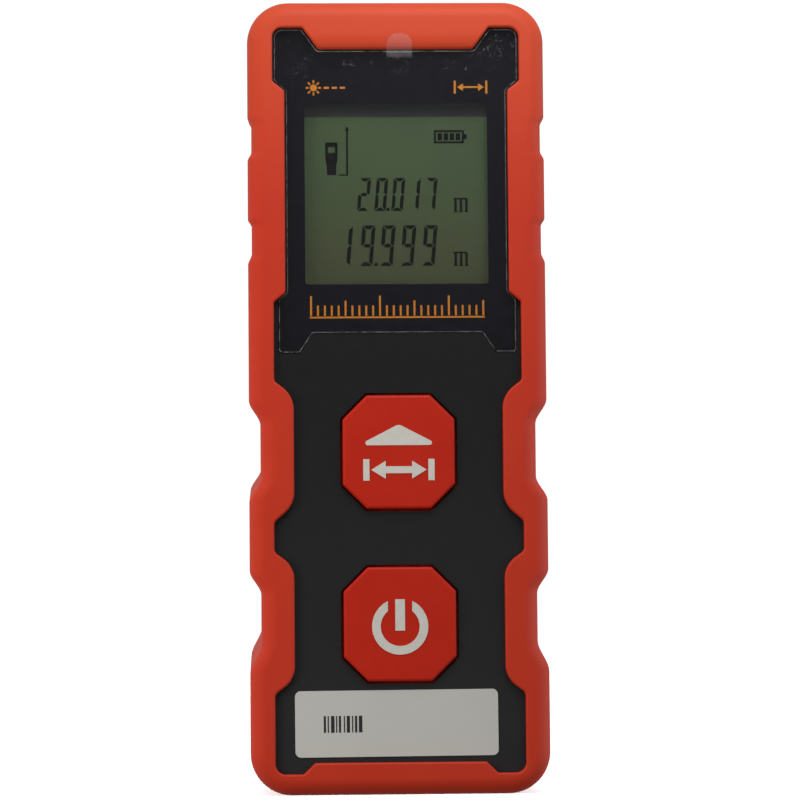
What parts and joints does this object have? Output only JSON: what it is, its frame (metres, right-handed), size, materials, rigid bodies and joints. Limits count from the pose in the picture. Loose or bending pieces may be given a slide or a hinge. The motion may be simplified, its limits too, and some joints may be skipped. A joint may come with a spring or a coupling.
{
  "type": "handheld laser distance meter",
  "caption": "Pocket laser distance meter: hard case in a ribbed rubber grip, display window, two octagonal keys, laser end and a hinged battery cover.",
  "frame": {"origin": "centre of the bottom end face, midway between the front and back of the grip", "axes": "+Z from the measuring edge up to the laser end, -Y out of the display side, +Y out of the battery side, +X to the right seen from the front"},
  "size_m": [0.0432, 0.025, 0.115],
  "materials": {
    "grip_rubber": "soft matte orange-red elastomer",
    "shell_black": "fine spark-eroded texture",
    "screw_steel": "zinc-plated",
    "window_clear": "polished clear plastic",
    "window_ink": "printed on the back of the window",
    "window_print": "printed line marks",
    "tape": "foam tape",
    "film_clear": "thin protective film",
    "label_white": "matt printed film",
    "label_ink": "thermal print",
    "label_silver": "satin silver film",
    "key_red": "fine texture, moulded in red",
    "legend_ink": "pad print",
    "switch_black": "moulded nylon",
    "lcd_glass": "polarised display glass",
    "lcd_segments": "driven segments",
    "reflector": "satin film",
    "holder_white": "moulded",
    "guide_clear": "polished acrylic",
    "led_yellow": "phosphor",
    "zebra_rubber": "silicone with dark layers",
    "board_green": "solder mask",
    "chip_black": "moulded epoxy",
    "passive_tan": "ceramic",
    "sensor_gold": "gold-plated can",
    "flex_amber": "polyimide",
    "optics_black": "glass-filled, satin",
    "lens_glass": "coated lens",
    "barrel_brass": "turned",
    "contact_nickel": "nickel-plated",
    "cell_sleeve": "printed sleeve",
    "foam_grey": "closed-cell foam"
  },
  "bodies": {
    "case": {"front_grip": "grip_rubber", "rear_grip": "grip_rubber", "front_shell": "shell_black", "rear_shell": "shell_black", "case_screws": "screw_steel", "display_window": "window_clear", "window_mask": "window_ink", "window_tape": "tape", "screen_film": "film_clear", "serial_label": "label_white", "rating_label": "label_silver", "measure_switch": "switch_black", "power_switch": "switch_black", "lcd_front_glass": "lcd_glass", "lcd_rear_glass": "lcd_glass", "lcd_reflector": "reflector", "lcd_holder": "holder_white", "light_guide": "guide_clear", "backlight_led": "led_yellow", "zebra_strip": "zebra_rubber", "main_board": "board_green", "board_chips": "chip_black", "board_passives": "passive_tan", "board_screws": "screw_steel", "buzzer": "chip_black", "optics_block": "optics_black", "receiver_lens": "lens_glass", "lens_retainer": "optics_black", "receiver_sensor": "sensor_gold", "sensor_board": "board_green", "optics_flex": "flex_amber", "laser_diode": "sensor_gold", "collimator_barrel": "barrel_brass", "collimator_lens": "lens_glass", "optics_bezel": "optics_black", "optics_screws": "screw_steel", "battery_cell_left": "cell_sleeve", "battery_cell_right": "cell_sleeve", "negative_contact": "contact_nickel", "negative_spring": "contact_nickel", "positive_contact": "contact_nickel", "bridge_contact": "contact_nickel", "bridge_spring": "contact_nickel"},
    "measure_key": {"measure_key": "key_red", "measure_key_legend": "legend_ink"},
    "power_key": {"power_key": "key_red", "power_key_legend": "legend_ink"},
    "measure_plunger": {"measure_switch_plunger": "switch_black"},
    "power_plunger": {"power_switch_plunger": "switch_black"},
    "battery_cover": {"battery_cover": "shell_black", "cover_foam": "foam_grey"}
  },
  "joints": [
    {"name": "measure_key_press", "type": "slide", "parent": "case", "child": "measure_key", "axis": [0, 1, 0], "range_m": [0, 0.0005], "stiffness_N_per_m": 600},
    {"name": "power_key_press", "type": "slide", "parent": "case", "child": "power_key", "axis": [0, 1, 0], "range_m": [0, 0.0005], "stiffness_N_per_m": 600},
    {"name": "measure_plunger_slide", "type": "slide", "parent": "case", "child": "measure_plunger", "axis": [0, 1, 0], "range_m": [0, 0.0005]},
    {"name": "power_plunger_slide", "type": "slide", "parent": "case", "child": "power_plunger", "axis": [0, 1, 0], "range_m": [0, 0.0005]},
    {"name": "cover_hinge", "type": "hinge", "parent": "case", "child": "battery_cover", "pos_m": [0, 0.0106, 0.0604], "axis": [1, 0, 0], "range_deg": [0, 85]}
  ],
  "couplings": [
    {"joint": "measure_plunger_slide", "follows": "measure_key_press", "ratio": 1},
    {"joint": "power_plunger_slide", "follows": "power_key_press", "ratio": 1}
  ]
}
